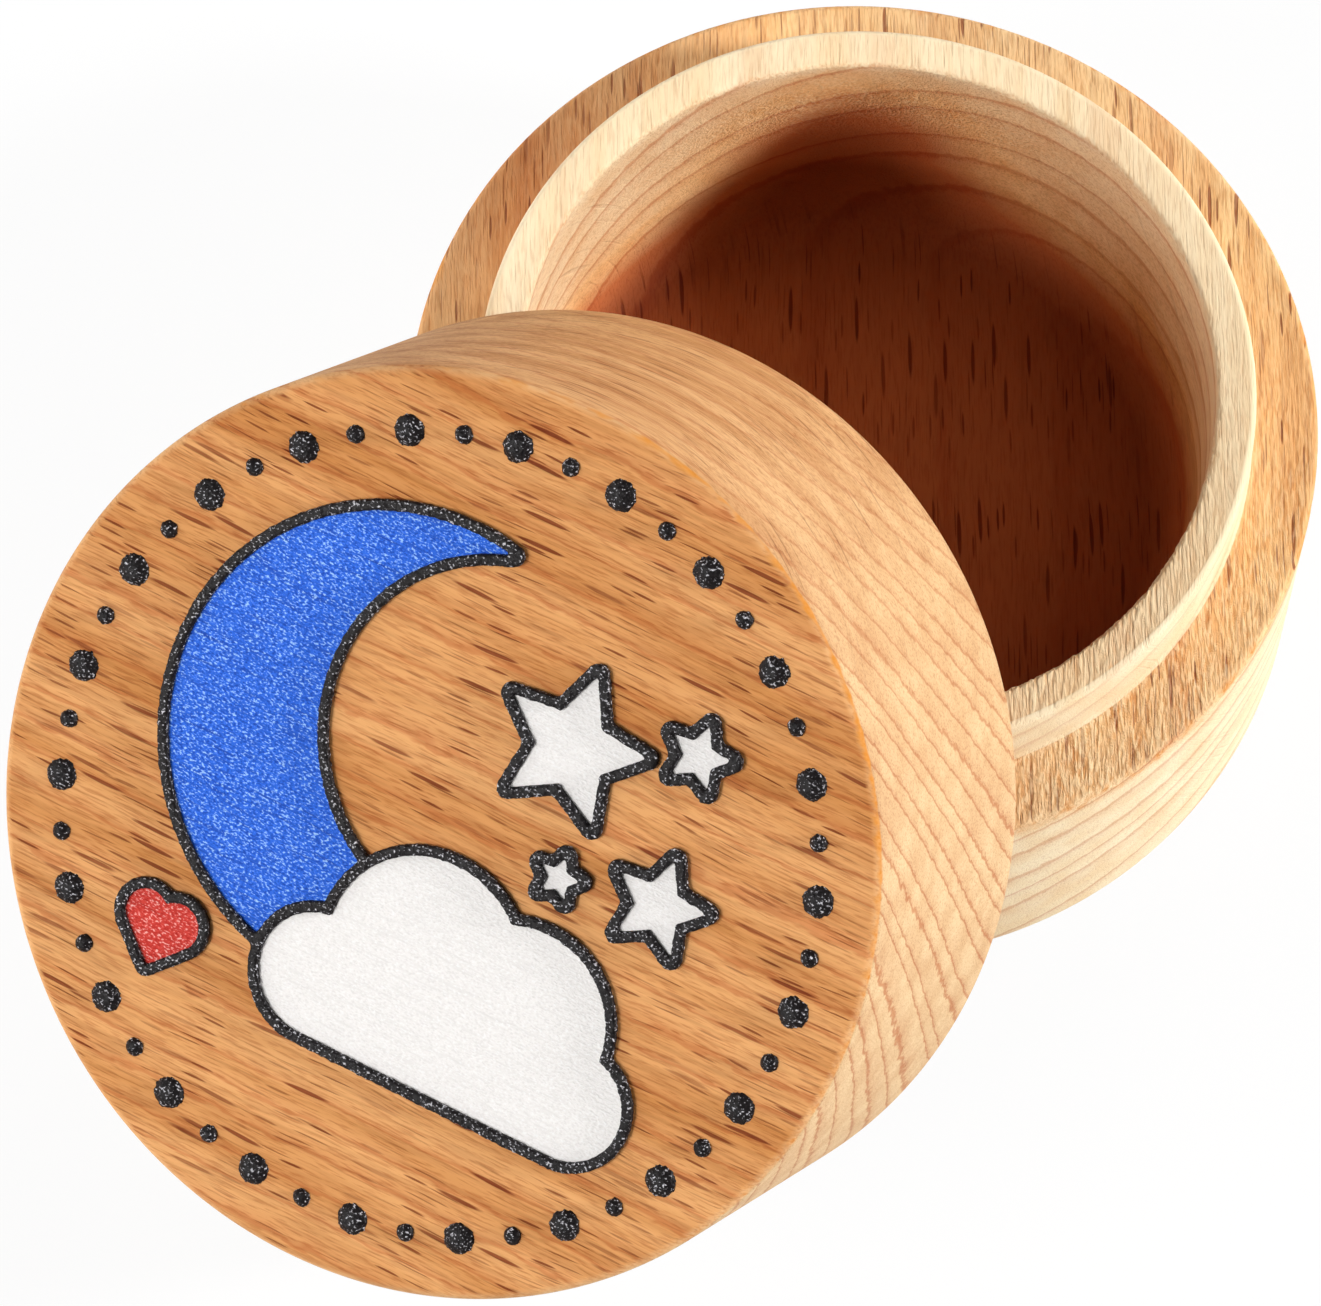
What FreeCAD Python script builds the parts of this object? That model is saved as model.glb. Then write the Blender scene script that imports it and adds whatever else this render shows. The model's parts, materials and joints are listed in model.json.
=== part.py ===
# Round keepsake box in turned beech: a bored base with a spigot, and a lid that fits over the spigot.
# Millimetres. +Z is up, and the origin is the centre of the base's underside.
# The lid is off: it leans towards -Y, with its rim on the table and its mouth against the spigot.
import FreeCAD, Part
import math
import os

# Base
body_diameter = 50.0
base_height = 19.0            # table to shoulder
shoulder_width = 3.8          # outer wall to spigot
spigot_height = 5.0           # shoulder to spigot top
spigot_wall = 2.2             # spigot to cavity
cavity_floor = 6.5            # wood under the cavity
cavity_corner_round = 3.5
cavity_edge_round = 0.3
spigot_edge_round = 0.4
spigot_root_round = 0.5
shoulder_edge_round = 0.4
foot_edge_round = 0.8

# Lid
lid_height = 21.0
lid_top_thickness = 7.0       # wood over the socket
socket_clearance = 0.3        # radial play between spigot and socket
socket_corner_round = 3.0
lid_top_edge_round = 0.5
lid_rim_edge_round = 0.3

# How the lid leans
lid_tilt = 38.4               # degrees from upright
lean_gap = 0.02               # between lid and base, measured as if their edges were sharp
lean_tolerance = 0.005

# Print on the lid's top, in a frame on that face with u to its right and v to its upright
print_turn = 12.0             # degrees about the lid's axis
film_thickness = 0.1          # flat inks
raised_thickness = 0.4        # thick black ink
outline_width = 0.6
bead_inset = 3.4              # lid's edge to the middle of the beads
bead_count = 22               # of each size
large_bead = 1.9              # diameters
small_bead = 1.1

# Motifs of the print, whose places and sizes are shares of the lid's radius
moon_radius = 0.52
moon_u = -0.144
moon_v = 0.128
moon_hollow_radius = 0.416
moon_hollow_u = 0.216         # from the moon's centre
moon_hollow_v = 0.112
cloud_foot = -0.528           # v of the cloud's flat underside
cloud_rise = 0.048            # how far the inner puffs stand above the outer ones
cloud_puffs = ((-0.136, 0.136), (0.072, 0.224), (0.312, 0.2), (0.48, 0.124))     # u, radius
stars = ((0.216, 0.312, 0.172), (0.512, 0.08, 0.112), (0.48, 0.416, 0.076), (0.288, 0.04, 0.052))     # u, v, tip
star_waist = 0.48             # radius of the inner corners over that of the tips
heart_lobe = 0.052            # radius of a lobe
heart_u = -0.504
heart_v = -0.472

body_radius = body_diameter / 2
spigot_radius = body_radius - shoulder_width
cavity_radius = spigot_radius - spigot_wall
socket_radius = spigot_radius + socket_clearance
Z_AXIS = FreeCAD.Vector(0, 0, 1)


def turned(corners):
    """Solid of revolution about Z. Each corner is (radius, height, rounding), from axis to axis."""
    points = [FreeCAD.Vector(radius, 0, height) for radius, height, rounding in corners]
    edges = []
    last = points[0]
    for index in range(1, len(points) - 1):
        corner = points[index]
        rounding = corners[index][2]
        back = (points[index - 1] - corner).normalize()
        ahead = (points[index + 1] - corner).normalize()
        half_angle = back.getAngle(ahead) / 2
        inward = (back + ahead).normalize()
        start = corner + back * (rounding / math.tan(half_angle))
        middle = corner + inward * (rounding / math.sin(half_angle) - rounding)
        end = corner + ahead * (rounding / math.tan(half_angle))
        edges.append(Part.LineSegment(last, start).toShape())
        if rounding > 0:
            edges.append(Part.Arc(start, middle, end).toShape())
        last = end
    edges.append(Part.LineSegment(last, points[-1]).toShape())
    edges.append(Part.LineSegment(points[-1], points[0]).toShape())
    face = Part.Face(Part.Wire(edges))
    return Part.makeSolid(face.revolve(FreeCAD.Vector(), Z_AXIS, 360))


def sharp(corners):
    """The same corners without their rounding."""
    return [(radius, height, 0) for radius, height, rounding in corners]


def on_top(u, v):
    """Point on the lid's top face, from shares of its radius."""
    return FreeCAD.Vector(u * body_radius, v * body_radius, lid_height)


def disc(u, v, radius):
    """Round face on the lid's top, from shares of its radius."""
    return Part.Face(Part.Wire(Part.makeCircle(radius * body_radius, on_top(u, v))))


def moon():
    """Crescent face: a disc with a smaller disc taken out of its upper right."""
    hollow = disc(moon_u + moon_hollow_u, moon_v + moon_hollow_v, moon_hollow_radius)
    return disc(moon_u, moon_v, moon_radius).cut(hollow).Faces[0]


def cloud():
    """Row of puffs over one flat underside, as the top face of a thin union."""
    first_u, first_radius = cloud_puffs[0]
    last_u, last_radius = cloud_puffs[-1]
    width = (last_u - first_u) * body_radius
    depth = min(first_radius, last_radius) * body_radius
    thickness = Z_AXIS * film_thickness
    union = Part.makeBox(width, depth, film_thickness, on_top(first_u, cloud_foot) - thickness)
    for puff_u, puff_radius in cloud_puffs:
        rise = 0 if puff_u in (first_u, last_u) else cloud_rise
        puff = disc(puff_u, cloud_foot + puff_radius + rise, puff_radius)
        union = union.fuse(puff.extrude(-thickness))
    return max(union.removeSplitter().Faces, key=lambda face: face.CenterOfMass.z)


def star(u, v, tip_radius):
    """Five-pointed face with one point upright."""
    corners = []
    for step in range(10):
        reach = tip_radius * (1 if step % 2 == 0 else star_waist)
        angle = math.pi / 2 + step * math.pi / 5
        corners.append(on_top(u + reach * math.cos(angle), v + reach * math.sin(angle)))
    return Part.Face(Part.makePolygon(corners + corners[:1]))


def heart():
    """Two round lobes over a square corner that points down, as one face."""
    half = heart_lobe * math.sqrt(2)
    left = on_top(heart_u - half, heart_v)
    right = on_top(heart_u + half, heart_v)
    notch = on_top(heart_u, heart_v + half)
    tip = on_top(heart_u, heart_v - half)
    right_lobe = on_top(heart_u + half, heart_v + half)
    left_lobe = on_top(heart_u - half, heart_v + half)
    outline = [
        Part.LineSegment(tip, right).toShape(),
        Part.Arc(right, right_lobe, notch).toShape(),
        Part.Arc(notch, left_lobe, left).toShape(),
        Part.LineSegment(left, tip).toShape(),
    ]
    return Part.Face(Part.Wire(outline))


def bead(angle, diameter):
    """Domed dot of thick ink, on a circle inside the lid's edge."""
    ring = 1 - bead_inset / body_radius
    dome_radius = ((diameter / 2) ** 2 + raised_thickness ** 2) / (2 * raised_thickness)
    sunk = dome_radius - raised_thickness
    lowest = math.degrees(math.asin(sunk / dome_radius))
    centre = on_top(ring * math.cos(angle), ring * math.sin(angle)) - Z_AXIS * sunk
    return Part.makeSphere(dome_radius, centre, Z_AXIS, lowest, 90)


# Base: upright on the table, with the cavity open at the top
spigot_top = base_height + spigot_height
base_corners = [
    (0, 0, 0),
    (body_radius, 0, foot_edge_round),
    (body_radius, base_height, shoulder_edge_round),
    (spigot_radius, base_height, spigot_root_round),
    (spigot_radius, spigot_top, spigot_edge_round),
    (cavity_radius, spigot_top, cavity_edge_round),
    (cavity_radius, cavity_floor, cavity_corner_round),
    (0, cavity_floor, 0),
]
box_base = turned(base_corners)

# Lid, with its mouth at height 0: the mouth's inner edge is rounded to clear the round at the spigot's root
socket_depth = lid_height - lid_top_thickness
lid_corners = [
    (0, lid_height, 0),
    (body_radius, lid_height, lid_top_edge_round),
    (body_radius, 0, lid_rim_edge_round),
    (socket_radius, 0, spigot_root_round),
    (socket_radius, socket_depth, socket_corner_round),
    (0, socket_depth, 0),
]
box_lid = turned(lid_corners)

# Print: motifs from front to back, each with a raised black outline, and each cut where one before it lies
motifs = [("red", heart()), ("white", cloud()), ("blue", moon())]
for u, v, tip_radius in stars:
    motifs.insert(0, ("white", star(u, v, tip_radius)))
inks = {"white": [], "blue": [], "red": [], "black": []}
covered = Part.Compound([])
for colour, face in motifs:
    grown = Part.Face(face.OuterWire.makeOffset2D(outline_width))
    film = face.extrude(Z_AXIS * film_thickness)
    outline = grown.cut(face).extrude(Z_AXIS * raised_thickness)
    inks[colour].extend(film.cut(covered).Solids)
    inks["black"].extend(outline.cut(covered).Solids)
    covered = Part.Compound(covered.Solids + grown.extrude(Z_AXIS * raised_thickness).Solids)
for step in range(bead_count):
    angle = 2 * math.pi * step / bead_count
    inks["black"].extend(bead(angle, large_bead).cut(covered).Solids)
    inks["black"].extend(bead(angle + math.pi / bead_count, small_bead).cut(covered).Solids)

# Lean: the tilted lid stands on the lowest point of its rim, and slides along the table up to the base
tilt = math.radians(lid_tilt)
rim_middle = body_radius - lid_rim_edge_round
mouth_height = rim_middle * math.sin(tilt) + lid_rim_edge_round * (1 - math.cos(tilt))
lean = FreeCAD.Rotation(FreeCAD.Vector(1, 0, 0), lid_tilt)
sharp_base = turned(sharp(base_corners))
sharp_lid = turned(sharp(lid_corners))
too_near = 0.0
clear = body_diameter + lid_height
while clear - too_near > lean_tolerance:
    distance = (too_near + clear) / 2
    sharp_lid.Placement = FreeCAD.Placement(FreeCAD.Vector(0, -distance, mouth_height), lean)
    if sharp_lid.distToShape(sharp_base)[0] < lean_gap:
        too_near = distance
    else:
        clear = distance
lid_placement = FreeCAD.Placement(FreeCAD.Vector(0, -clear, mouth_height), lean)
print_placement = FreeCAD.Placement(FreeCAD.Vector(), FreeCAD.Rotation(Z_AXIS, print_turn))
box_lid.Placement = lid_placement

os.makedirs("parts", exist_ok=True)
box_base.exportStep("parts/box_base.step")
box_lid.exportStep("parts/box_lid.step")
for colour, solids in inks.items():
    ink = Part.Compound(solids)
    ink.Placement = lid_placement.multiply(print_placement)
    ink.exportStep(f"parts/print_{colour}.step")
print(f"middle of the lid's mouth: {clear:.3f} mm from the base's axis, {mouth_height:.3f} mm above the table")
print(f"gap between lid and base: {box_lid.distToShape(box_base)[0]:.3f} mm")
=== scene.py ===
# Round keepsake box in turned beech, open: the base stands upright and the lid leans against it.
# Metres. +Z is up, and the origin is the centre of the base's underside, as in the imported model.
import json
import math

import bmesh
import bpy
from mathutils import Matrix, Vector


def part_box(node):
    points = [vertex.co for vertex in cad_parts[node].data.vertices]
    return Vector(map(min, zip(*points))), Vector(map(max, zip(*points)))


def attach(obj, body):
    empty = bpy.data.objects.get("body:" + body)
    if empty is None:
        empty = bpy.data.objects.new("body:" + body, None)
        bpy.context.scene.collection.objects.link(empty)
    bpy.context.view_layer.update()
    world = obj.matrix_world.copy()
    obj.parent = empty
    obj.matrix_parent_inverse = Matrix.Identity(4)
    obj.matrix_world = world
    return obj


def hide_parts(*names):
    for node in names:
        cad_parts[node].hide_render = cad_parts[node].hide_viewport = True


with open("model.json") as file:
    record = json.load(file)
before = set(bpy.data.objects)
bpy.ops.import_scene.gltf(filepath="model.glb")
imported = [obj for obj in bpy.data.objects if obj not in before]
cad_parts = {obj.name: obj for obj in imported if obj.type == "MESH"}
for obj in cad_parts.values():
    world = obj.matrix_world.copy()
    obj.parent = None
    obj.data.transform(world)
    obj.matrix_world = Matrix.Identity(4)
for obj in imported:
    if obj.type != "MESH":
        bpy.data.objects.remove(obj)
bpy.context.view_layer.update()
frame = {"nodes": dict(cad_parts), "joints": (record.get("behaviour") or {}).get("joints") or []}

# Camera: a long lens that looks steeply down on the box from its right front.
# Place and turn were fitted to the circles of base and lid.
MM = 0.001
camera_place = Vector((107.19, -173.18, 517.65)) * MM
camera_turn = (20.686, -1.570, 38.751)     # degrees
lens_length = 267.56
film_width = 36.0
bpy.ops.object.select_all(action="DESELECT")
bpy.ops.object.camera_add(location=camera_place, rotation=[math.radians(turn) for turn in camera_turn])
camera = bpy.context.object
camera.data.lens = lens_length
camera.data.sensor_width = film_width
camera.data.sensor_fit = "HORIZONTAL"
bpy.context.scene.camera = camera
bpy.context.scene.view_settings.view_transform = "Standard"


# Base: one block of beech, turned on a lathe with its grain lying flat, then bored for the cavity.
# The shoulder carries the finish and a torn grain, and the spigot is paler and barer. Inside the cavity
# painted shade darkens the far wall, the lower wall and the floor.
base_low, base_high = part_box("box_base")
body_radius = base_high.x
spigot_top = base_high.z
spigot_height = 5.0 * MM
shoulder_width = 3.8 * MM
spigot_wall = 2.2 * MM
cavity_floor = 6.5 * MM
foot_edge_round = 0.8 * MM
shoulder_edge_round = 0.4 * MM
spigot_root_round = 0.5 * MM
spigot_edge_round = 0.4 * MM
cavity_edge_round = 0.3 * MM
cavity_corner_round = 3.5 * MM
shoulder = spigot_top - spigot_height
spigot_radius = body_radius - shoulder_width
cavity_radius = spigot_radius - spigot_wall
# Steps of the mesh along the profile: fine on the rims, where the grain is torn, and wider on smooth wood
rim_step = 0.15 * MM
spigot_step = 0.5 * MM
cavity_step = 0.6 * MM
wall_step = 1.5 * MM
cavity_floor_step = 2.0 * MM
underside_step = 4.0 * MM
spin_steps = 560
round_segments = 5
weld = 0.002 * MM


def turned(name, corners):
    """Draws a profile in the XZ plane, rounds and divides it, and spins it about Z.

    Each corner is (radius, height, rounding, step along the line that follows), from axis to axis.
    """
    same_place = 0.001 * MM
    in_line = 1e-6
    bpy.ops.object.select_all(action="DESELECT")
    bpy.ops.mesh.primitive_plane_add(size=MM)
    piece = bpy.context.object
    piece.name = name
    bpy.ops.object.mode_set(mode="EDIT")
    bpy.ops.mesh.merge(type="CENTER")
    bpy.ops.transform.translate(value=(corners[0][0], 0, corners[0][1]))
    for before, corner in zip(corners, corners[1:]):
        way = (corner[0] - before[0], 0, corner[1] - before[1])
        bpy.ops.mesh.extrude_vertices_move(TRANSFORM_OT_translate={"value": way})
    for radius, height, rounding, step in corners:
        if rounding > 0:
            profile = bmesh.from_edit_mesh(piece.data)
            for point in profile.verts:
                point.select_set((point.co - Vector((radius, 0, height))).length < same_place)
            bmesh.update_edit_mesh(piece.data)
            bpy.ops.mesh.bevel(affect="VERTICES", offset=rounding, segments=round_segments)
    for before, corner in zip(corners, corners[1:]):
        profile = bmesh.from_edit_mesh(piece.data)
        start = Vector((before[0], 0, before[1]))
        way = Vector((corner[0], 0, corner[1])) - start
        cuts = 0
        for line in profile.edges:
            along = line.verts[1].co - line.verts[0].co
            middle = (line.verts[0].co + line.verts[1].co) / 2 - start
            straight = along.cross(way).length < in_line * along.length * way.length
            on_line = middle.cross(way).length < in_line * way.length
            line.select_set(straight and on_line)
            if line.select:
                cuts = int(line.calc_length() / before[3])
        bmesh.update_edit_mesh(piece.data)
        if cuts > 0:
            bpy.ops.mesh.subdivide(number_cuts=cuts)
    bpy.ops.object.mode_set(mode="OBJECT")
    spin = piece.modifiers.new("lathe", "SCREW")
    spin.axis = "Z"
    spin.angle = math.tau
    spin.steps = spin_steps
    spin.render_steps = spin_steps
    spin.use_merge_vertices = True
    spin.merge_threshold = weld
    bpy.ops.object.modifier_apply(modifier=spin.name)
    bpy.ops.object.mode_set(mode="EDIT")
    bpy.ops.mesh.select_all(action="SELECT")
    bpy.ops.mesh.remove_doubles(threshold=weld)
    bpy.ops.mesh.normals_make_consistent(inside=False)
    bpy.ops.object.mode_set(mode="OBJECT")
    bpy.ops.object.shade_smooth()
    return piece


base = turned("turned_base", [
    (0, 0, 0, underside_step),
    (body_radius, 0, foot_edge_round, wall_step),
    (body_radius, shoulder, shoulder_edge_round, rim_step),
    (spigot_radius, shoulder, spigot_root_round, spigot_step),
    (spigot_radius, spigot_top, spigot_edge_round, rim_step),
    (cavity_radius, spigot_top, cavity_edge_round, cavity_step),
    (cavity_radius, cavity_floor, cavity_corner_round, cavity_floor_step),
    (0, cavity_floor, 0, cavity_floor_step),
])

# How the tool and the finish left the base's surfaces, with painted shade laid over them, as four shares at
# each point: finish and painted shade (above 1 a darker colour, which is thick finish on the shoulder's
# coated side and painted shade elsewhere, 3 a deep painted shade, -1 a painted shade on the outer wall, which
# the low main light lights strongly), burnish, torn grain and fine sanding.
# The rims are torn most where the tool met the grain head on, and so is the cavity's wall at the end grain.
# On the shoulder the finish lies thicker on the coated side, and the spigot's shadow is painted on the shaded
# side. In the cavity, painted shade lies on the far wall, grows with depth and covers the floor, most along
# the wall, and the wall that the main light reaches is kept nearly free of it.
base_grain = Vector((-0.634, 0.773, 0)).normalized()
torn_side = math.radians(-16)
torn_spread = math.radians(42)
torn_reach = math.radians(75)
least_share = 0.25            # of tearing or burnish, on the sides that have least of it
rim_depth = 0.5 * MM
rim_inset = 0.35 * MM
edge_width = 0.5 * MM
skin_depth = 0.2 * MM         # how far off a turned wall a point still counts as part of it
upward_slope = 0.3            # least height of a normal that counts as facing up
# Painted shade on the outer wall, which the low main light lights strongly
outer_wall_shade = -1.0
outer_wall_sanding = 0.6
shaded_side = math.radians(180)
coated_side = math.radians(35)
shoulder_finish = 0.8
torn_loss = 0.35              # finish that torn grain lacks
shaded_extra = 0.85           # painted shadow of the spigot on the shaded side, laid on as more finish
coated_extra = 0.5            # finish more on the coated side
shoulder_burnish = 0.4
shoulder_tearing = 0.75
edge_wear = 0.6               # share of the tearing that the shoulder's edge has lost
spigot_finish = 0.35
spigot_tearing = 0.42
spigot_edge_tearing = 0.5
spigot_edge_least = 0.4
spigot_top_sanding = 0.55
end_grain_side = math.atan2(base_grain.y, base_grain.x)
end_grain_spread = math.radians(40)
scraped_depth = 0.3           # a share of the cavity's depth, as are its spread and the lengths of the painted shade below
scraped_spread = 0.2
scraped_tearing = 0.65
# Painted shade on the far wall of the cavity, which lies in shadow: some at the top, more with depth.
far_shade_side = math.radians(130)
far_shade_spread = math.radians(21)
far_shade_length = 0.55
far_shade_top = 0.1               # painted shade at the top of the far wall, and how much more lower down
far_shade_growth = 1.8
# The wall that the main light reaches is kept nearly free of the painted shade, most near the top.
lit_wall_side = math.radians(215)
lit_wall_spread = math.radians(65)
# Painted shade that grows with depth, faster on the lowest part of the wall, up to a deepest share.
low_shade_start = 0.7
cavity_finish = 0.3           # finish at the top of the wall, with the painted shade that depth and the lowest part add to it
depth_shade = 0.7
low_shade = 1.2
darkest_shade = 3.0
cavity_sanding = 0.25
floor_shade = 2.0            # painted shade in the middle of the floor, and how much more along the wall
floor_edge_shade = 1.15
floor_margin = 2.0 * MM


def off_side(point, side):
    """Angle about Z between a point and a side, from -pi to pi."""
    return math.remainder(math.atan2(point.y, point.x) - side, math.tau)


def bell(offset, spread):
    """Share that falls smoothly from 1 as the offset grows past the spread."""
    return math.exp(-(offset / spread) ** 2)


def base_surface(point):
    """Shares of (finish, burnish, torn grain, sanding) at a point of the base."""
    radius = math.hypot(point.x, point.y)
    outside = radius > spigot_radius + skin_depth
    torn = least_share + (1 - least_share) * bell(off_side(point, torn_side), torn_spread)
    if outside and point.z > shoulder - rim_depth:
        edge = max(0.0, 1 - (body_radius - radius) / edge_width)
        # The spigot's shadow is painted on the shaded side, as more finish and its darker colour
        shaded = bell(off_side(point, shaded_side), torn_spread)
        coated = bell(off_side(point, coated_side), torn_spread)
        finished = shoulder_finish - torn_loss * torn + shaded_extra * shaded + coated_extra * coated
        return finished, shoulder_burnish * edge, shoulder_tearing * torn * (1 - edge_wear * edge), 0.0
    if outside:
        # The outer wall: its painted shade and its sanding
        return outer_wall_shade, 0.0, 0.0, outer_wall_sanding
    if point.z > spigot_top - rim_inset and radius < spigot_radius - rim_inset:
        inner_edge = max(0.0, 1 - (radius - cavity_radius) / edge_width)
        edge_tearing = spigot_edge_tearing * inner_edge
        edge_tearing *= spigot_edge_least + (1 - spigot_edge_least) * torn
        return spigot_finish * torn, 0.0, spigot_tearing * torn + edge_tearing, spigot_top_sanding
    if radius > cavity_radius + skin_depth:
        return 0.0, 0.0, 0.0, 1.0
    depth = (spigot_top - point.z) / (spigot_top - cavity_floor)
    at_end_grain = bell(off_side(point, end_grain_side), end_grain_spread)
    scraped = at_end_grain * bell(depth - scraped_depth, scraped_spread)
    # Painted shade in the cavity: on the far wall and with depth, held back on the lit wall, and on the
    # floor.
    far_shade_amount = far_shade_top + far_shade_growth * min(1.0, depth / far_shade_length)
    far_shade = bell(off_side(point, far_shade_side), far_shade_spread) * far_shade_amount
    lit_wall = bell(off_side(point, lit_wall_side), lit_wall_spread) * (1 - depth)
    darkened = min(1.0, max(0.0, (depth - low_shade_start) / (1 - low_shade_start)))
    painted_depth_shade = depth_shade * depth + low_shade * darkened
    wall = min(darkest_shade, cavity_finish + painted_depth_shade * (1 - lit_wall) + far_shade)
    bottom = floor_shade + floor_edge_shade * (radius / cavity_radius) ** 2
    on_floor = min(1.0, max(0.0, (cavity_radius - skin_depth - radius) / floor_margin))
    finished = wall + on_floor * (bottom - wall)
    return finished, 0.0, scraped_tearing * scraped, cavity_sanding * (1 - on_floor)


# The torn part of the rims gets a finer mesh, so that its fibres can stand up from it.
bpy.ops.object.mode_set(mode="EDIT")
rims = bmesh.from_edit_mesh(base.data)
for face in rims.faces:
    middle = face.calc_center_median()
    upward = face.normal.z > upward_slope and middle.z > shoulder - rim_depth
    face.select_set(upward and abs(off_side(middle, torn_side)) < torn_reach)
bmesh.update_edit_mesh(base.data)
bpy.ops.mesh.subdivide(number_cuts=1)
bpy.ops.object.mode_set(mode="OBJECT")


def record_surface(piece, surface, lowest):
    """Writes a surface function's shares to the piece as a colour attribute.

    Its torn grain is also a vertex group above the lowest height at which fibres stand up.
    """
    shares = [surface(vertex.co) for vertex in piece.data.vertices]
    heights = [vertex.co.z for vertex in piece.data.vertices]
    torn_grain = piece.vertex_groups.new(name="torn grain")
    for index, (finished, burnished, torn, sanded) in enumerate(shares):
        if torn > 0 and heights[index] > lowest:
            torn_grain.add([index], torn, "REPLACE")
    finish_and_shade = piece.data.color_attributes.new("finish_and_shade", "FLOAT_COLOR", "POINT")
    for index, point_shares in enumerate(shares):
        finish_and_shade.data[index].color = point_shares


def tear(piece, middle, turn, fibre, lift):
    """Lifts and tears fibres where the piece has torn grain. A fibre is (length, width, thickness)."""
    untouched = 0.62              # height in the noise at which the wood stays where it was
    holder = bpy.data.objects.new("grain frame", None)
    bpy.context.scene.collection.objects.link(holder)
    holder.location = middle
    holder.rotation_euler = turn
    holder.scale = fibre
    bpy.context.view_layer.update()
    cloud = bpy.data.textures.new("fibres", "CLOUDS")
    cloud.noise_scale = 1.0
    cloud.noise_depth = 1
    relief = piece.modifiers.new("torn fibres", "DISPLACE")
    relief.texture = cloud
    relief.texture_coords = "OBJECT"
    relief.texture_coords_object = holder
    relief.vertex_group = "torn grain"
    relief.strength = lift
    relief.mid_level = untouched
    bpy.ops.object.select_all(action="DESELECT")
    bpy.context.view_layer.objects.active = piece
    bpy.ops.object.modifier_apply(modifier=relief.name)
    bpy.data.objects.remove(holder)
    bpy.data.textures.remove(cloud)


def grain_turn(grain, radial):
    """Turn of a frame with its X along the grain and its Z away from the heart of the tree."""
    return Matrix((grain, radial.cross(grain), radial)).transposed().to_euler()


base_ring_tilt = math.radians(-20)
base_radial = Matrix.Rotation(base_ring_tilt, 3, base_grain) @ Vector((0, 0, 1))
base_turn = grain_turn(base_grain, base_radial)
base_middle = Vector((0, 0, shoulder / 2))
long_fibre = (0.8 * MM, 0.18 * MM, 0.3 * MM)
long_fibre_lift = 0.2 * MM
short_fibre = (0.4 * MM, 0.11 * MM, 0.2 * MM)
short_fibre_lift = 0.13 * MM
record_surface(base, base_surface, shoulder - rim_depth)
tear(base, base_middle, base_turn, long_fibre, long_fibre_lift)
tear(base, base_middle, base_turn, short_fibre, short_fibre_lift)


def colour(code):
    """Linear colour of an sRGB hex code."""
    shares = [int(code[start:start + 2], 16) / 255 for start in (1, 3, 5)]
    linear = [share / 12.92 if share <= 0.04045 else ((share + 0.055) / 1.055) ** 2.4 for share in shares]
    return (*linear, 1.0)


def add(tree, kind, inputs=None, **settings):
    """Adds a node with its settings. An input that is a socket is linked, and any other is set."""
    made = tree.nodes.new(kind)
    for name, value in settings.items():
        setattr(made, name, value)
    for name, value in (inputs or {}).items():
        if isinstance(value, bpy.types.NodeSocket):
            tree.links.new(value, made.inputs[name])
        else:
            made.inputs[name].default_value = value
    return made


# Beech is a pale, even wood: growth rings that end in a thin dark line, fine pores that draw short lines
# along the grain, and rays that show as dark dashes on faces along the grain. Lengths are in millimetres.
heart_distance = 150.0        # from the middle of the piece to the heart of the tree
log_taper = 0.004
sway_length = 14.0
sway = 0.8
weather_rate = 0.7            # changes of growth for each ring
weather_change = 0.8          # rings
ring_raggedness = (("pore", 0.08), ("blotch", 0.17))
late_wood = ((0.55, 0.05), (0.82, 0.32), (0.9, 1.0), (0.96, 0.9))     # share of the ring, darkness
ring_on_edge_grain = 0.75
ring_on_flat_grain = 0.15
ray_on_end_grain = 0.08
end_grain_range = (0.1, 0.7)  # how squarely a face cuts the grain where rays begin and end to fade
least_crowding = 0.7          # share of the rays that is left outside the streaks
sanded_marks = 0.3            # share that sanding leaves
sanded_rays = 0.05
rays_sanded_at = 0.3          # share of sanding at which the rays are down to that
ring_tint = "#CC7A3C"
pore_tint = "#C08A58"
band_tint = "#B49578"
ray_tint = "#8A3E14"
# Darker colours above a share of 1: thick finish on the shoulder's coated side, painted shade elsewhere
pool_and_shade_colour = "#BC6C40"
# Deep painted shade, low in the cavity
deep_shade_colour = "#803C1C"
# Painted shade of the outer wall
outer_wall_shade_colour = "#D4AE94"
burnish_colour = "#E0923C"
# Torn fibres: pale tips, partly paler wood and partly a painted highlight, and painted shade in the gaps
torn_tip = "#FFE8BE"
torn_gap_shade = "#E6BC8C"
tip_paleness = (0.65, 0.15)   # on bare wood and under thick finish and painted shade
least_patch = 0.4
burnish_reach = 2.0
pore_depth = 0.03
shallow_pore = 0.5            # depth beside that of a ray
torn_relief = 2.0
# Marks drawn out along the grain: length, width, and where in their noise they begin and are full.
# Pores are drawn a little wider than real ones, which are too fine to show.
marks = {
    "pore": (1.4, 0.11, 0.49, 0.66),
    "band": (6.0, 0.26, 0.45, 0.7),
    "streak": (30.0, 2.0, 0.35, 0.68),
    "tear": (0.8, 0.17, 0.38, 0.62),
    "blotch": (2.0, 0.7, 0.35, 0.6),
}
# Rays: room for one along and across the grain, its size in that room, its darkness and its rarity
rays = ((13.0, 1.05, 0.12, 1.7, 0.8), (7.0, 0.6, 0.12, 1.4, 1.0), (8.0, 0.3, 0.15, 1.0, 1.5))
ray_core = 0.65               # share of a ray that is at its full darkness


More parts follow.
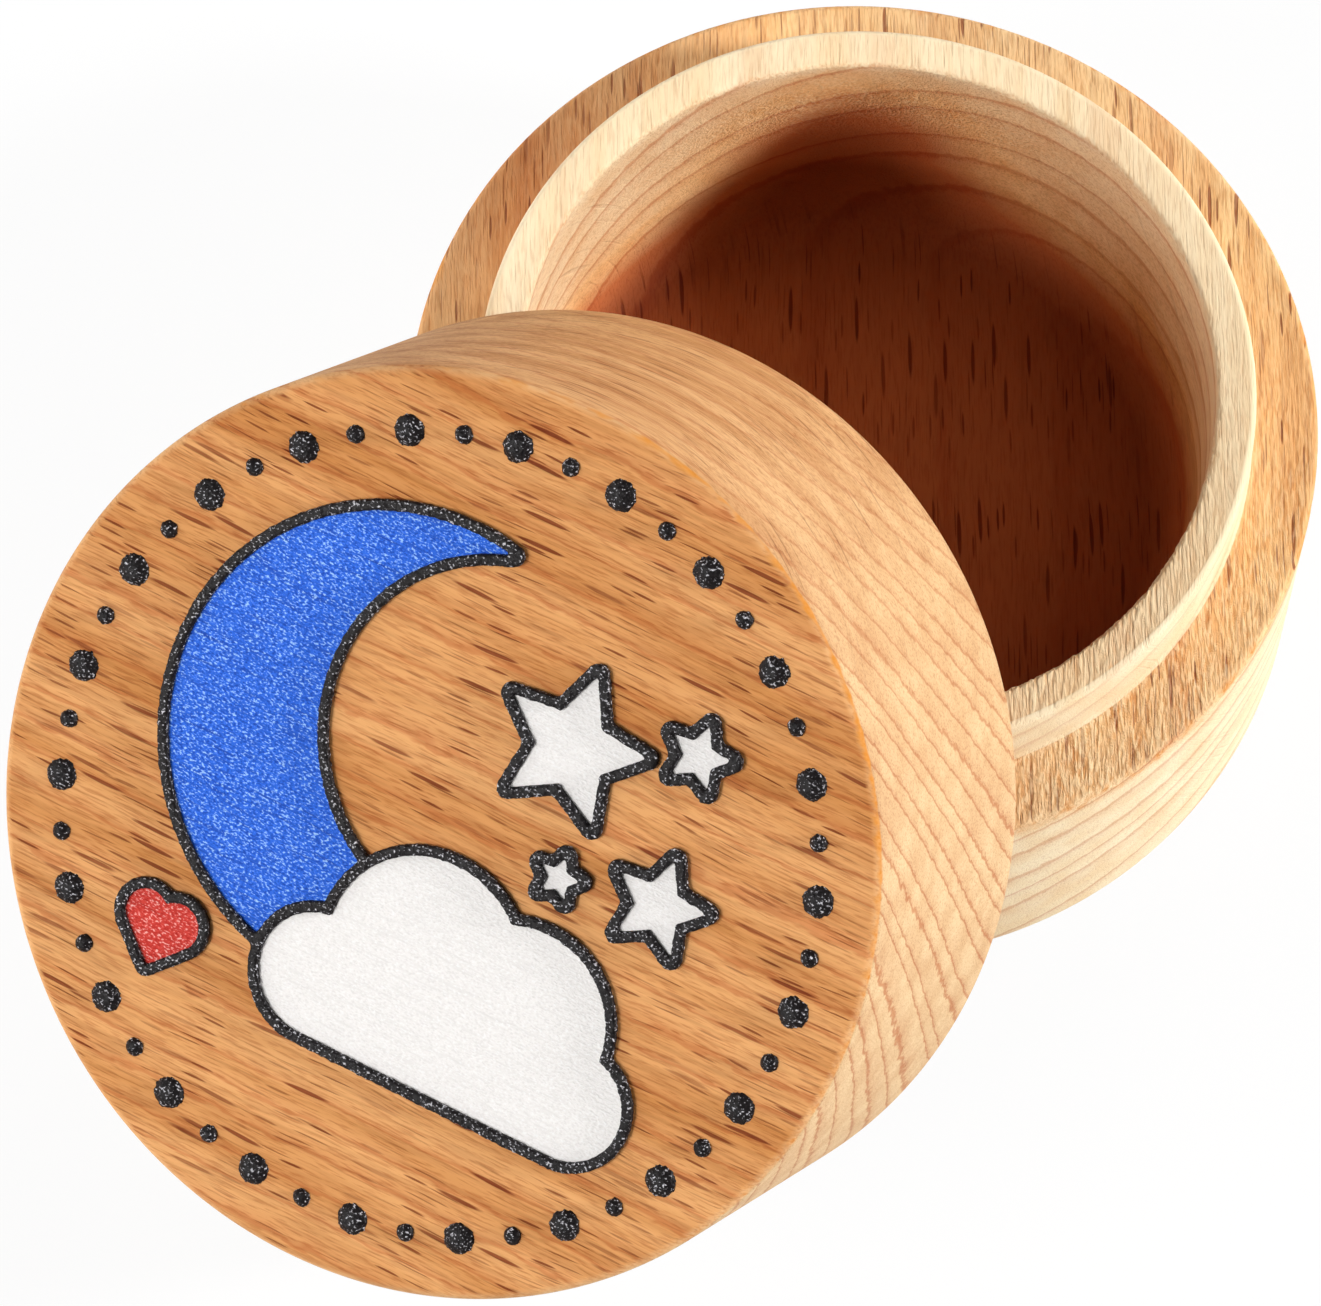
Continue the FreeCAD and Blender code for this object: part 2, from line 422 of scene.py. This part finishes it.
def beech(name, middle, turn, grain, radial, slant, ring_gap, raw, finished):
    """Solid beech, cut from a log that lies along the grain and has its heart below the piece.

    Slant narrows the rays as much as the cut across them widens them. Raw and finished are pairs of colours.
    """
    material = bpy.data.materials.new(name)
    material.use_nodes = True
    tree = material.node_tree
    tree.nodes.clear()
    surface = add(tree, "ShaderNodeTexCoord")
    heart = middle - radial * (heart_distance * MM)
    log = add(tree, "ShaderNodeMapping",
              {"Vector": surface.outputs["Object"], "Location": heart, "Rotation": turn,
               "Scale": (MM, MM, MM)},
              vector_type="TEXTURE").outputs[0]
    drift = add(tree, "ShaderNodeTexNoise", {"Vector": log, "Scale": 1 / sway_length, "Detail": 2.0})
    drift = add(tree, "ShaderNodeVectorMath", {0: drift.outputs["Color"], 1: (0.5, 0.5, 0.5)},
                operation="SUBTRACT")
    log = add(tree, "ShaderNodeVectorMath", {0: drift.outputs[0], 1: (sway, sway, sway), 2: log},
              operation="MULTIPLY_ADD").outputs[0]
    facing = []
    for direction in (grain, radial):
        dot = add(tree, "ShaderNodeVectorMath", {0: surface.outputs["Normal"], 1: direction},
                  operation="DOT_PRODUCT")
        facing.append(add(tree, "ShaderNodeMath", {0: dot.outputs["Value"], 1: 2.0}, operation="POWER"))
    end_grain, flat_grain = [square.outputs[0] for square in facing]

    tones = {}
    for part, (length, width, low, high) in marks.items():
        drawn = add(tree, "ShaderNodeVectorMath", {0: log, 1: (1 / length, 1 / width, 1 / width)},
                    operation="MULTIPLY")
        noise = add(tree, "ShaderNodeTexNoise", {"Vector": drawn.outputs[0], "Scale": 1.0, "Detail": 2.0})
        tones[part] = add(tree, "ShaderNodeMapRange",
                          {"Value": noise.outputs[0], "From Min": low, "From Max": high}).outputs[0]

    across = add(tree, "ShaderNodeVectorMath", {0: log, 1: (log_taper, 1, 1)}, operation="MULTIPLY")
    reach = add(tree, "ShaderNodeVectorMath", {0: across.outputs[0]}, operation="LENGTH").outputs["Value"]
    years = add(tree, "ShaderNodeMath", {0: reach, 1: ring_gap}, operation="DIVIDE")
    weather = add(tree, "ShaderNodeTexNoise", {"W": years.outputs[0], "Scale": weather_rate, "Detail": 0.0},
                  noise_dimensions="1D")
    years = add(tree, "ShaderNodeMath", {0: weather.outputs[0], 1: weather_change, 2: years.outputs[0]},
                operation="MULTIPLY_ADD")
    for part, length in ring_raggedness:
        years = add(tree, "ShaderNodeMath", {0: tones[part], 1: length / ring_gap, 2: years.outputs[0]},
                    operation="MULTIPLY_ADD")
    season = add(tree, "ShaderNodeMath", {0: years.outputs[0]}, operation="FRACT")
    late = add(tree, "ShaderNodeValToRGB", {"Fac": season.outputs[0]})
    late.color_ramp.elements[0].color = (0, 0, 0, 1)
    late.color_ramp.elements[1].color = (0, 0, 0, 1)
    for position, tone in late_wood:
        late.color_ramp.elements.new(position).color = (tone, tone, tone, 1)
    ring_share = add(tree, "ShaderNodeMath", {0: flat_grain, 1: ring_on_flat_grain - ring_on_edge_grain,
                                             2: ring_on_edge_grain}, operation="MULTIPLY_ADD")
    tones["ring"] = add(tree, "ShaderNodeMath", {0: late.outputs[0], 1: ring_share.outputs[0]},
                        operation="MULTIPLY").outputs[0]

    tones["ray"] = None
    for along, sideways, size, darkness, rarity in rays:
        room = (1 / along, 1 / (sideways * slant), 1.0)
        cell = add(tree, "ShaderNodeVectorMath", {0: log, 1: room}, operation="MULTIPLY")
        ray = add(tree, "ShaderNodeTexVoronoi", {"Vector": cell.outputs[0], "Scale": 1.0},
                  voronoi_dimensions="2D")
        core = add(tree, "ShaderNodeMapRange", {"Value": ray.outputs["Distance"], "From Min": size,
                                                "From Max": size * ray_core, "To Max": darkness})
        chance = add(tree, "ShaderNodeSeparateColor", {0: ray.outputs["Color"]})
        chance = add(tree, "ShaderNodeMath", {0: chance.outputs[0], 1: rarity}, operation="POWER")
        core = add(tree, "ShaderNodeMath", {0: core.outputs[0], 1: chance.outputs[0]}, operation="MULTIPLY")
        if tones["ray"]:
            core = add(tree, "ShaderNodeMath", {0: core.outputs[0], 1: tones["ray"]}, operation="MAXIMUM")
        tones["ray"] = core.outputs[0]
    crowd = add(tree, "ShaderNodeMapRange",
                {"Value": tones["streak"], "To Min": least_crowding, "To Max": 1.0})
    side_grain = add(tree, "ShaderNodeMapRange",
                     {"Value": end_grain, "From Min": end_grain_range[0], "From Max": end_grain_range[1],
                      "To Min": 1.0, "To Max": ray_on_end_grain})
    crowd = add(tree, "ShaderNodeMath", {0: crowd.outputs[0], 1: side_grain.outputs[0]}, operation="MULTIPLY")
    tones["ray"] = add(tree, "ShaderNodeMath", {0: tones["ray"], 1: crowd.outputs[0]}, operation="MULTIPLY",
                       use_clamp=True).outputs[0]

    # The wood's colour, from raw to coated, by the finish it was left with. Above a share of 1 it darkens:
    # thick finish on the shoulder's coated side, painted shade elsewhere. At -1 it takes the outer wall's
    # painted shade.
    shares = add(tree, "ShaderNodeAttribute", attribute_name="finish_and_shade")
    sanded = shares.outputs["Alpha"]
    shares = add(tree, "ShaderNodeSeparateColor", {0: shares.outputs["Color"]})
    finish_and_shade, burnish, torn = shares.outputs[0:3]
    darkened = add(tree, "ShaderNodeMath", {0: finish_and_shade, 1: 1.0}, operation="SUBTRACT", use_clamp=True)
    bare = add(tree, "ShaderNodeMix", {0: tones["streak"], 6: colour(raw[0]), 7: colour(raw[1])},
               data_type="RGBA")
    coated = add(tree, "ShaderNodeMix", {0: tones["streak"], 6: colour(finished[0]), 7: colour(finished[1])},
                 data_type="RGBA")
    wood = add(tree, "ShaderNodeMix", {0: finish_and_shade, 6: bare.outputs[2], 7: coated.outputs[2]}, data_type="RGBA")
    wood = add(tree, "ShaderNodeMix", {0: darkened.outputs[0], 6: wood.outputs[2], 7: colour(pool_and_shade_colour)},
               data_type="RGBA")
    deep_shade = add(tree, "ShaderNodeMath", {0: finish_and_shade, 1: 2.0}, operation="SUBTRACT", use_clamp=True)
    wood = add(tree, "ShaderNodeMix", {0: deep_shade.outputs[0], 6: wood.outputs[2], 7: colour(deep_shade_colour)},
               data_type="RGBA")
    # At a share of -1, the outer wall's painted shade
    wall_shade = add(tree, "ShaderNodeMath", {0: finish_and_shade, 1: -1.0}, operation="MULTIPLY", use_clamp=True)
    wood = add(tree, "ShaderNodeMix", {0: wall_shade.outputs[0], 6: wood.outputs[2], 7: colour(outer_wall_shade_colour)},
               data_type="RGBA").outputs[2]

    # Sanding wears the marks away: the rays go first.
    kept_marks = add(tree, "ShaderNodeMapRange",
                     {"Value": sanded, "From Max": 1.0, "To Min": 1.0, "To Max": sanded_marks}).outputs[0]
    kept_rays = add(tree, "ShaderNodeMapRange",
                    {"Value": sanded, "From Max": rays_sanded_at, "To Min": 1.0,
                     "To Max": sanded_rays}).outputs[0]

    def draw(part, kept, tint, on_raw, on_finished, on_darkened):
        """Draws one kind of mark, at its strength on raw wood, on finished wood and under thick finish and
        painted shade.
        """
        strength = add(tree, "ShaderNodeMapRange", {"Value": finish_and_shade, "To Min": on_raw, "To Max": on_finished})
        strength = add(tree, "ShaderNodeMapRange",
                       {"Value": darkened.outputs[0], "To Min": strength.outputs[0], "To Max": on_darkened})
        strength = add(tree, "ShaderNodeMath", {0: strength.outputs[0], 1: kept}, operation="MULTIPLY")
        strength = add(tree, "ShaderNodeMath", {0: tones[part], 1: strength.outputs[0]}, operation="MULTIPLY")
        return add(tree, "ShaderNodeMix", {0: strength.outputs[0], 6: wood, 7: colour(tint)},
                   data_type="RGBA", blend_type="MULTIPLY").outputs[2]

    wood = draw("ring", kept_marks, ring_tint, on_raw=1.0, on_finished=0.8, on_darkened=1.0)
    wood = draw("pore", kept_marks, pore_tint, on_raw=0.4, on_finished=0.4, on_darkened=0.2)
    wood = draw("band", kept_marks, band_tint, on_raw=0.1, on_finished=0.3, on_darkened=0.1)
    wood = draw("ray", kept_rays, ray_tint, on_raw=0.55, on_finished=0.82, on_darkened=0.75)

    # A burnished edge is ragged. Torn fibres lie in patches, with painted shade in the gaps between them and
    # pale tips that are partly paler wood and partly a painted highlight, less pale under thick finish and
    # painted shade.
    ragged = add(tree, "ShaderNodeMath", {0: burnish, 1: burnish_reach}, operation="MULTIPLY")
    ragged = add(tree, "ShaderNodeMath", {0: ragged.outputs[0], 1: tones["blotch"]}, operation="SUBTRACT",
                 use_clamp=True)
    wood = add(tree, "ShaderNodeMix", {0: ragged.outputs[0], 6: wood, 7: colour(burnish_colour)},
               data_type="RGBA").outputs[2]
    paler = add(tree, "ShaderNodeMapRange", {"Value": darkened.outputs[0], "To Min": tip_paleness[0],
                                             "To Max": tip_paleness[1]})
    tip = add(tree, "ShaderNodeMix", {0: paler.outputs[0], 6: wood, 7: colour(torn_tip)}, data_type="RGBA")
    gap_shade = add(tree, "ShaderNodeMix", {0: 1.0, 6: wood, 7: colour(torn_gap_shade)}, data_type="RGBA",
              blend_type="MULTIPLY")
    fibres = add(tree, "ShaderNodeMix", {0: tones["tear"], 6: tip.outputs[2], 7: gap_shade.outputs[2]},
                 data_type="RGBA")
    patchy = add(tree, "ShaderNodeMapRange", {"Value": tones["blotch"], "To Min": 1.0, "To Max": least_patch})
    patchy = add(tree, "ShaderNodeMath", {0: torn, 1: patchy.outputs[0]}, operation="MULTIPLY")
    wood = add(tree, "ShaderNodeMix", {0: patchy.outputs[0], 6: wood, 7: fibres.outputs[2]},
               data_type="RGBA").outputs[2]

    deep = add(tree, "ShaderNodeMath", {0: tones["pore"], 1: shallow_pore, 2: tones["ray"]},
               operation="MULTIPLY_ADD")
    gaps = add(tree, "ShaderNodeMath", {0: torn, 1: torn_relief}, operation="MULTIPLY")
    deep = add(tree, "ShaderNodeMath", {0: gaps.outputs[0], 1: tones["tear"], 2: deep.outputs[0]},
               operation="MULTIPLY_ADD")
    relief = add(tree, "ShaderNodeBump",
                 {"Height": deep.outputs[0], "Strength": 1.0, "Distance": pore_depth * MM}, invert=True)
    satin = add(tree, "ShaderNodeBsdfPrincipled",
                {"Base Color": wood, "Roughness": 0.6, "IOR": 1.5, "Specular IOR Level": 0.08,
                 "Normal": relief.outputs[0]})
    add(tree, "ShaderNodeOutputMaterial", {"Surface": satin.outputs[0]})
    return material


base_raw = ("#FBE9C6", "#F6DCB2")
base_finished = ("#FCD298", "#F2BC7E")
base_slant = base_radial.z
base_ring_gap = 3.0
base.data.materials.clear()
base.data.materials.append(beech("turned beech, base", base_middle, base_turn, base_grain, base_radial,
                                 base_slant, base_ring_gap, base_raw, base_finished))
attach(base, "base")
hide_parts("box_base")

# Lid: a second block of beech, turned to the base's diameter and bored from below to fit over the spigot.
# It is off and leans on the base. Its top is sanded flat, finished, and burnished along the edge, and its
# upper side has painted shade.
lid_low, lid_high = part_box("box_lid")
lid_axis = Vector(frame["joints"][0]["axis"])
lid_tilt = math.atan2(-lid_axis.y, lid_axis.z)
lid_height = 21.0 * MM
lid_top_thickness = 7.0 * MM
socket_clearance = 0.3 * MM
socket_radius = spigot_radius + socket_clearance
socket_depth = lid_height - lid_top_thickness
socket_corner_round = 3.0 * MM
lid_top_edge_round = 0.5 * MM
mouth_round = 0.5 * MM
rim_round = 0.3 * MM
rim_middle = body_radius - rim_round
mouth_y = lid_high.y - rim_middle * math.cos(lid_tilt) + rim_round * math.sin(lid_tilt) - rim_round
mouth_z = lid_low.z + rim_middle * math.sin(lid_tilt) - rim_round * math.cos(lid_tilt) + rim_round
lid_mouth = Vector((0, mouth_y, mouth_z))
ragged_width = 1.6 * MM       # the band along the top's edge that has a fine mesh
lid_top_step = 2.5 * MM
lid_rim_step = 0.8 * MM
socket_step = 2.0 * MM
socket_top_step = 4.0 * MM
lid = turned("turned_lid", [
    (0, lid_height, 0, lid_top_step),
    (body_radius - ragged_width, lid_height, 0, rim_step),
    (body_radius, lid_height, lid_top_edge_round, wall_step),
    (body_radius, 0, rim_round, lid_rim_step),
    (socket_radius, 0, mouth_round, socket_step),
    (socket_radius, socket_depth, socket_corner_round, socket_top_step),
    (0, socket_depth, 0, socket_top_step),
])
lid_upslope = Vector((0, math.cos(lid_tilt), math.sin(lid_tilt)))
print_turn = math.radians(12)
lid_grain = Vector((1, 0, 0)) * math.cos(print_turn) + lid_upslope * math.sin(print_turn)
lid_ragged_side = math.radians(-20)
lid_burnt_side = math.radians(55)
lid_upper_side = math.radians(115)
lid_edge_spread = math.radians(50)
lid_edge_width = 0.45 * MM
lid_top_skin = 0.3 * MM
lid_torn_depth = 0.55 * MM
lid_edge_loss = 0.5           # finish that the top's edge has lost
lid_edge_tearing = 0.5
lid_side_shade = 0.8
lid_side_sanding = 0.15


def lid_surface(point):
    """Shares of (finish, burnish, torn grain, sanding) at a point of the lid, before it leans."""
    radius = math.hypot(point.x, point.y)
    ragged = least_share + (1 - least_share) * bell(off_side(point, lid_ragged_side), lid_edge_spread)
    burnt = least_share + (1 - least_share) * bell(off_side(point, lid_burnt_side), lid_edge_spread)
    if point.z > lid_height - lid_top_skin:
        edge = max(0.0, 1 - (body_radius - radius) / lid_edge_width)
        return 1.0 - lid_edge_loss * edge, burnt * edge, lid_edge_tearing * ragged * edge, edge
    # Painted shade on the lid's upper side, drawn with the finished wood's colour
    coated = bell(off_side(point, lid_upper_side), lid_edge_spread)
    return lid_side_shade * coated, 0.0, 0.0, lid_side_sanding


record_surface(lid, lid_surface, lid_height - lid_torn_depth)
lid.rotation_euler.x = lid_tilt
lid.location = lid_mouth
bpy.ops.object.select_all(action="DESELECT")
lid.select_set(True)
bpy.context.view_layer.objects.active = lid
bpy.ops.object.transform_apply(location=True, rotation=True, scale=True)
lid_ring_tilt = math.radians(53.4)
lid_radial = Matrix.Rotation(lid_ring_tilt, 3, lid_grain) @ lid_axis
lid_turn = grain_turn(lid_grain, lid_radial)
lid_middle = lid_mouth + lid_axis * lid_height
edge_fibre = (1.2 * MM, 0.25 * MM, 0.5 * MM)
edge_fibre_lift = 0.16 * MM
tear(lid, lid_middle, lid_turn, edge_fibre, edge_fibre_lift)
lid_raw = ("#E0C296", "#D4AE82")
lid_finished = ("#EDAE70", "#D38E4E")
lid_slant = lid_radial.dot(lid_axis)
lid_ring_gap = 1.4
lid.data.materials.clear()
lid.data.materials.append(beech("turned beech, lid", lid_middle, lid_turn, lid_grain, lid_radial,
                                lid_slant, lid_ring_gap, lid_raw, lid_finished))
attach(lid, "lid")
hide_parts("box_lid")

# Flat inks of the print: white, blue and red films that were printed on the sanded top and cured.
# A film is thin enough to take on the grain under it, and its skin is a fine pebble, with painted highlights
# on its grains and painted shade in its dips.
grain_line = (2.5, 0.16)      # length and width in millimetres
flat_pebble = (0.18, 0.1)
glint_range = 0.12
grain_valley = (0.5, 0.75)    # heights in the noise between which the ink sinks into the grain
skin_dip = (0.5, 0.32)        # and between which its skin dips, with painted shade
skin_height = 0.06 * MM
grain_rise = -0.5             # how the skin follows the grain under it: the lines lie deeper


def ink(name, body, sunk_and_shaded, glint, pebble, glint_from, gloss, roughness):
    """Cured ink: a body colour, a shade of it where it sank into the grain and as painted shade in the dips
    of its pebbled skin, and painted highlights that glint on the skin's grains.

    Pebble is the length and width of a grain of the skin, and glint_from is how high a grain stands
    that glints.
    """
    material = bpy.data.materials.new(name)
    material.use_nodes = True
    tree = material.node_tree
    tree.nodes.clear()
    point = add(tree, "ShaderNodeTexCoord").outputs["Object"]
    top = add(tree, "ShaderNodeMapping",
              {"Vector": point, "Location": lid_middle, "Rotation": lid_turn, "Scale": (MM, MM, MM)},
              vector_type="TEXTURE").outputs[0]
    heights = []
    for length, width in (grain_line, pebble):
        drawn = add(tree, "ShaderNodeVectorMath", {0: top, 1: (1 / length, 1 / width, 1 / width)},
                    operation="MULTIPLY")
        noise = add(tree, "ShaderNodeTexNoise", {"Vector": drawn.outputs[0], "Scale": 1.0, "Detail": 2.0})
        heights.append(noise.outputs[0])
    fibre, skin = heights
    valley = add(tree, "ShaderNodeMapRange",
                 {"Value": fibre, "From Min": grain_valley[0], "From Max": grain_valley[1]})
    # Painted shade where the skin dips
    dip = add(tree, "ShaderNodeMapRange",
              {"Value": skin, "From Min": skin_dip[0], "From Max": skin_dip[1]})
    shade = add(tree, "ShaderNodeMath", {0: valley.outputs[0], 1: dip.outputs[0]}, operation="MAXIMUM")
    tone = add(tree, "ShaderNodeMix", {0: shade.outputs[0], 6: colour(body), 7: colour(sunk_and_shaded)},
               data_type="RGBA")
    # Painted highlights on the tops of the skin's grains
    bright = add(tree, "ShaderNodeMapRange",
                 {"Value": skin, "From Min": glint_from, "From Max": glint_from + glint_range})
    tone = add(tree, "ShaderNodeMix", {0: bright.outputs[0], 6: tone.outputs[2], 7: colour(glint)},
               data_type="RGBA")
    height = add(tree, "ShaderNodeMath", {0: fibre, 1: grain_rise, 2: skin}, operation="MULTIPLY_ADD")
    relief = add(tree, "ShaderNodeBump",
                 {"Height": height.outputs[0], "Strength": 1.0, "Distance": skin_height})
    film = add(tree, "ShaderNodeBsdfPrincipled",
               {"Base Color": tone.outputs[2], "Roughness": roughness, "IOR": 1.5,
                "Specular IOR Level": gloss, "Normal": relief.outputs[0]})
    add(tree, "ShaderNodeOutputMaterial", {"Surface": film.outputs[0]})
    return material


flat_inks = {
    "print_white": ink("cured white ink", body="#F8F4F1", sunk_and_shaded="#ECE8E5", glint="#FCFAF8",
                       pebble=flat_pebble, glint_from=0.55, gloss=0.1, roughness=0.6),
    "print_blue": ink("cured blue ink", body="#2C6EEA", sunk_and_shaded="#1A48B4", glint="#A4CCFF",
                      pebble=flat_pebble, glint_from=0.55, gloss=0.1, roughness=0.5),
    "print_red": ink("cured red ink", body="#DE4238", sunk_and_shaded="#BE2A22", glint="#FFB8B0",
                     pebble=flat_pebble, glint_from=0.55, gloss=0.1, roughness=0.5),
}
for node, material in flat_inks.items():
    for slot in frame["nodes"][node].material_slots:
        slot.material = material

# Black ink of the print: laid on thick, so that it stands proud with round shoulders and an uneven skin.
# It is glossy, the light catches on its many small lumps, and painted highlights on its skin add to it.
black_voxel = 0.095 * MM
black_sink = 0.03 * MM
black_weld = 0.001 * MM
black_pebble = (0.16, 0.13)
lump_size = 0.3 * MM
lump_height = 0.1 * MM
bpy.ops.object.select_all(action="DESELECT")
black = bpy.data.objects.new("raised_black_ink", frame["nodes"]["print_black"].data.copy())
bpy.context.scene.collection.objects.link(black)
black.select_set(True)
bpy.context.view_layer.objects.active = black
bpy.ops.object.mode_set(mode="EDIT")
bpy.ops.mesh.select_all(action="SELECT")
bpy.ops.mesh.remove_doubles(threshold=black_weld)
bpy.ops.transform.translate(value=-lid_axis * black_sink)
bpy.ops.object.mode_set(mode="OBJECT")
grain_of_ink = bpy.data.textures.new("lumps", "CLOUDS")
grain_of_ink.noise_scale = lump_size
grain_of_ink.noise_depth = 1
skin = black.modifiers.new("skin", "REMESH")
skin.mode = "VOXEL"
skin.voxel_size = black_voxel
slump = black.modifiers.new("slump", "SMOOTH")
slump.factor = 0.5
slump.iterations = 5
lumps = black.modifiers.new("lumps", "DISPLACE")
lumps.texture = grain_of_ink
lumps.texture_coords = "LOCAL"
lumps.strength = lump_height
lumps.mid_level = 0.4
for modifier in (skin, slump, lumps):
    bpy.ops.object.modifier_apply(modifier=modifier.name)
bpy.data.textures.remove(grain_of_ink)
bpy.ops.object.shade_smooth()
black.data.materials.clear()
black.data.materials.append(ink("cured black ink", body="#1C1819", sunk_and_shaded="#0E0B0C", glint="#D4D2D8",
                                pebble=black_pebble, glint_from=0.595, gloss=0.15, roughness=0.4))
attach(black, "lid")
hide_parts("print_black")

# Floor: a plain white table under the box. Most of its brightness is its own, so that it stays white
# up to the edge of the picture and still shows a faint shadow of the box.
floor_shine = 0.93
floor_size = 6.0
floor_drop = 0.02 * MM
floor_grey = 0.86
bpy.ops.object.select_all(action="DESELECT")
bpy.ops.mesh.primitive_plane_add(size=floor_size, location=(0, 0, -floor_drop))
floor = bpy.context.object
floor.name = "floor"
table = bpy.data.materials.new("white table")
table.use_nodes = True
tree = table.node_tree
tree.nodes.clear()
paint = add(tree, "ShaderNodeBsdfDiffuse", {"Color": (floor_grey, floor_grey, floor_grey, 1)})
glow = add(tree, "ShaderNodeEmission", {"Color": (1, 1, 1, 1), "Strength": 1.0})
seen = add(tree, "ShaderNodeLightPath")
direct = add(tree, "ShaderNodeMath", {0: seen.outputs["Is Camera Ray"], 1: seen.outputs["Is Glossy Ray"]},
             operation="MAXIMUM")
direct = add(tree, "ShaderNodeMath", {0: direct.outputs[0], 1: seen.outputs["Is Transmission Ray"]},
             operation="MAXIMUM")
share = add(tree, "ShaderNodeMath", {0: direct.outputs[0], 1: floor_shine}, operation="MULTIPLY")
mixed = add(tree, "ShaderNodeMixShader", {0: share.outputs[0], 1: paint.outputs[0], 2: glow.outputs[0]})
add(tree, "ShaderNodeOutputMaterial", {"Surface": mixed.outputs[0]})
floor.data.materials.append(table)

# Light: a soft box low on the right as the main light, a larger one low at the front for the lid's top,
# weak ones from behind and from the left, and a little even light from the room, most of it from overhead.
room_horizon = 0.06
room_overhead = 0.16
overhead_from = 0.6           # height of a direction: 0 at the horizon, 1 straight up
overhead_full = 0.8
light_distance = 1.2


def soft_box(name, azimuth, elevation, size, power):
    """Square area light that faces the middle of the box. Angles are in degrees."""
    turn = math.radians(azimuth)
    rise = math.radians(elevation)
    way = Vector((math.cos(rise) * math.cos(turn), math.cos(rise) * math.sin(turn), math.sin(rise)))
    bpy.ops.object.light_add(type="AREA", location=way * light_distance)
    light = bpy.context.object
    light.name = name
    light.rotation_euler = way.to_track_quat("Z", "Y").to_euler()
    light.data.size = size
    light.data.energy = power


soft_box("main light", azimuth=31, elevation=31, size=0.16, power=15.5)
soft_box("front light", azimuth=-112, elevation=28, size=0.5, power=10.5)
soft_box("back light", azimuth=105, elevation=30, size=0.6, power=4.0)
soft_box("left light", azimuth=202, elevation=12, size=0.6, power=4.5)
world = bpy.data.worlds.new("room")
bpy.context.scene.world = world
world.use_nodes = True
tree = world.node_tree
tree.nodes.clear()
seen = add(tree, "ShaderNodeLightPath")
direction = add(tree, "ShaderNodeTexCoord").outputs["Generated"]
height = add(tree, "ShaderNodeSeparateXYZ", {0: direction}).outputs[2]
room = add(tree, "ShaderNodeMapRange",
           {"Value": height, "From Min": overhead_from, "From Max": overhead_full,
            "To Min": room_horizon, "To Max": room_overhead})
dim = add(tree, "ShaderNodeBackground", {"Color": (1, 1, 1, 1), "Strength": room.outputs[0]})
bright = add(tree, "ShaderNodeBackground", {"Color": (1, 1, 1, 1), "Strength": 1.0})
mixed = add(tree, "ShaderNodeMixShader",
            {0: seen.outputs["Is Camera Ray"], 1: dim.outputs[0], 2: bright.outputs[0]})
add(tree, "ShaderNodeOutputWorld", {"Surface": mixed.outputs[0]})
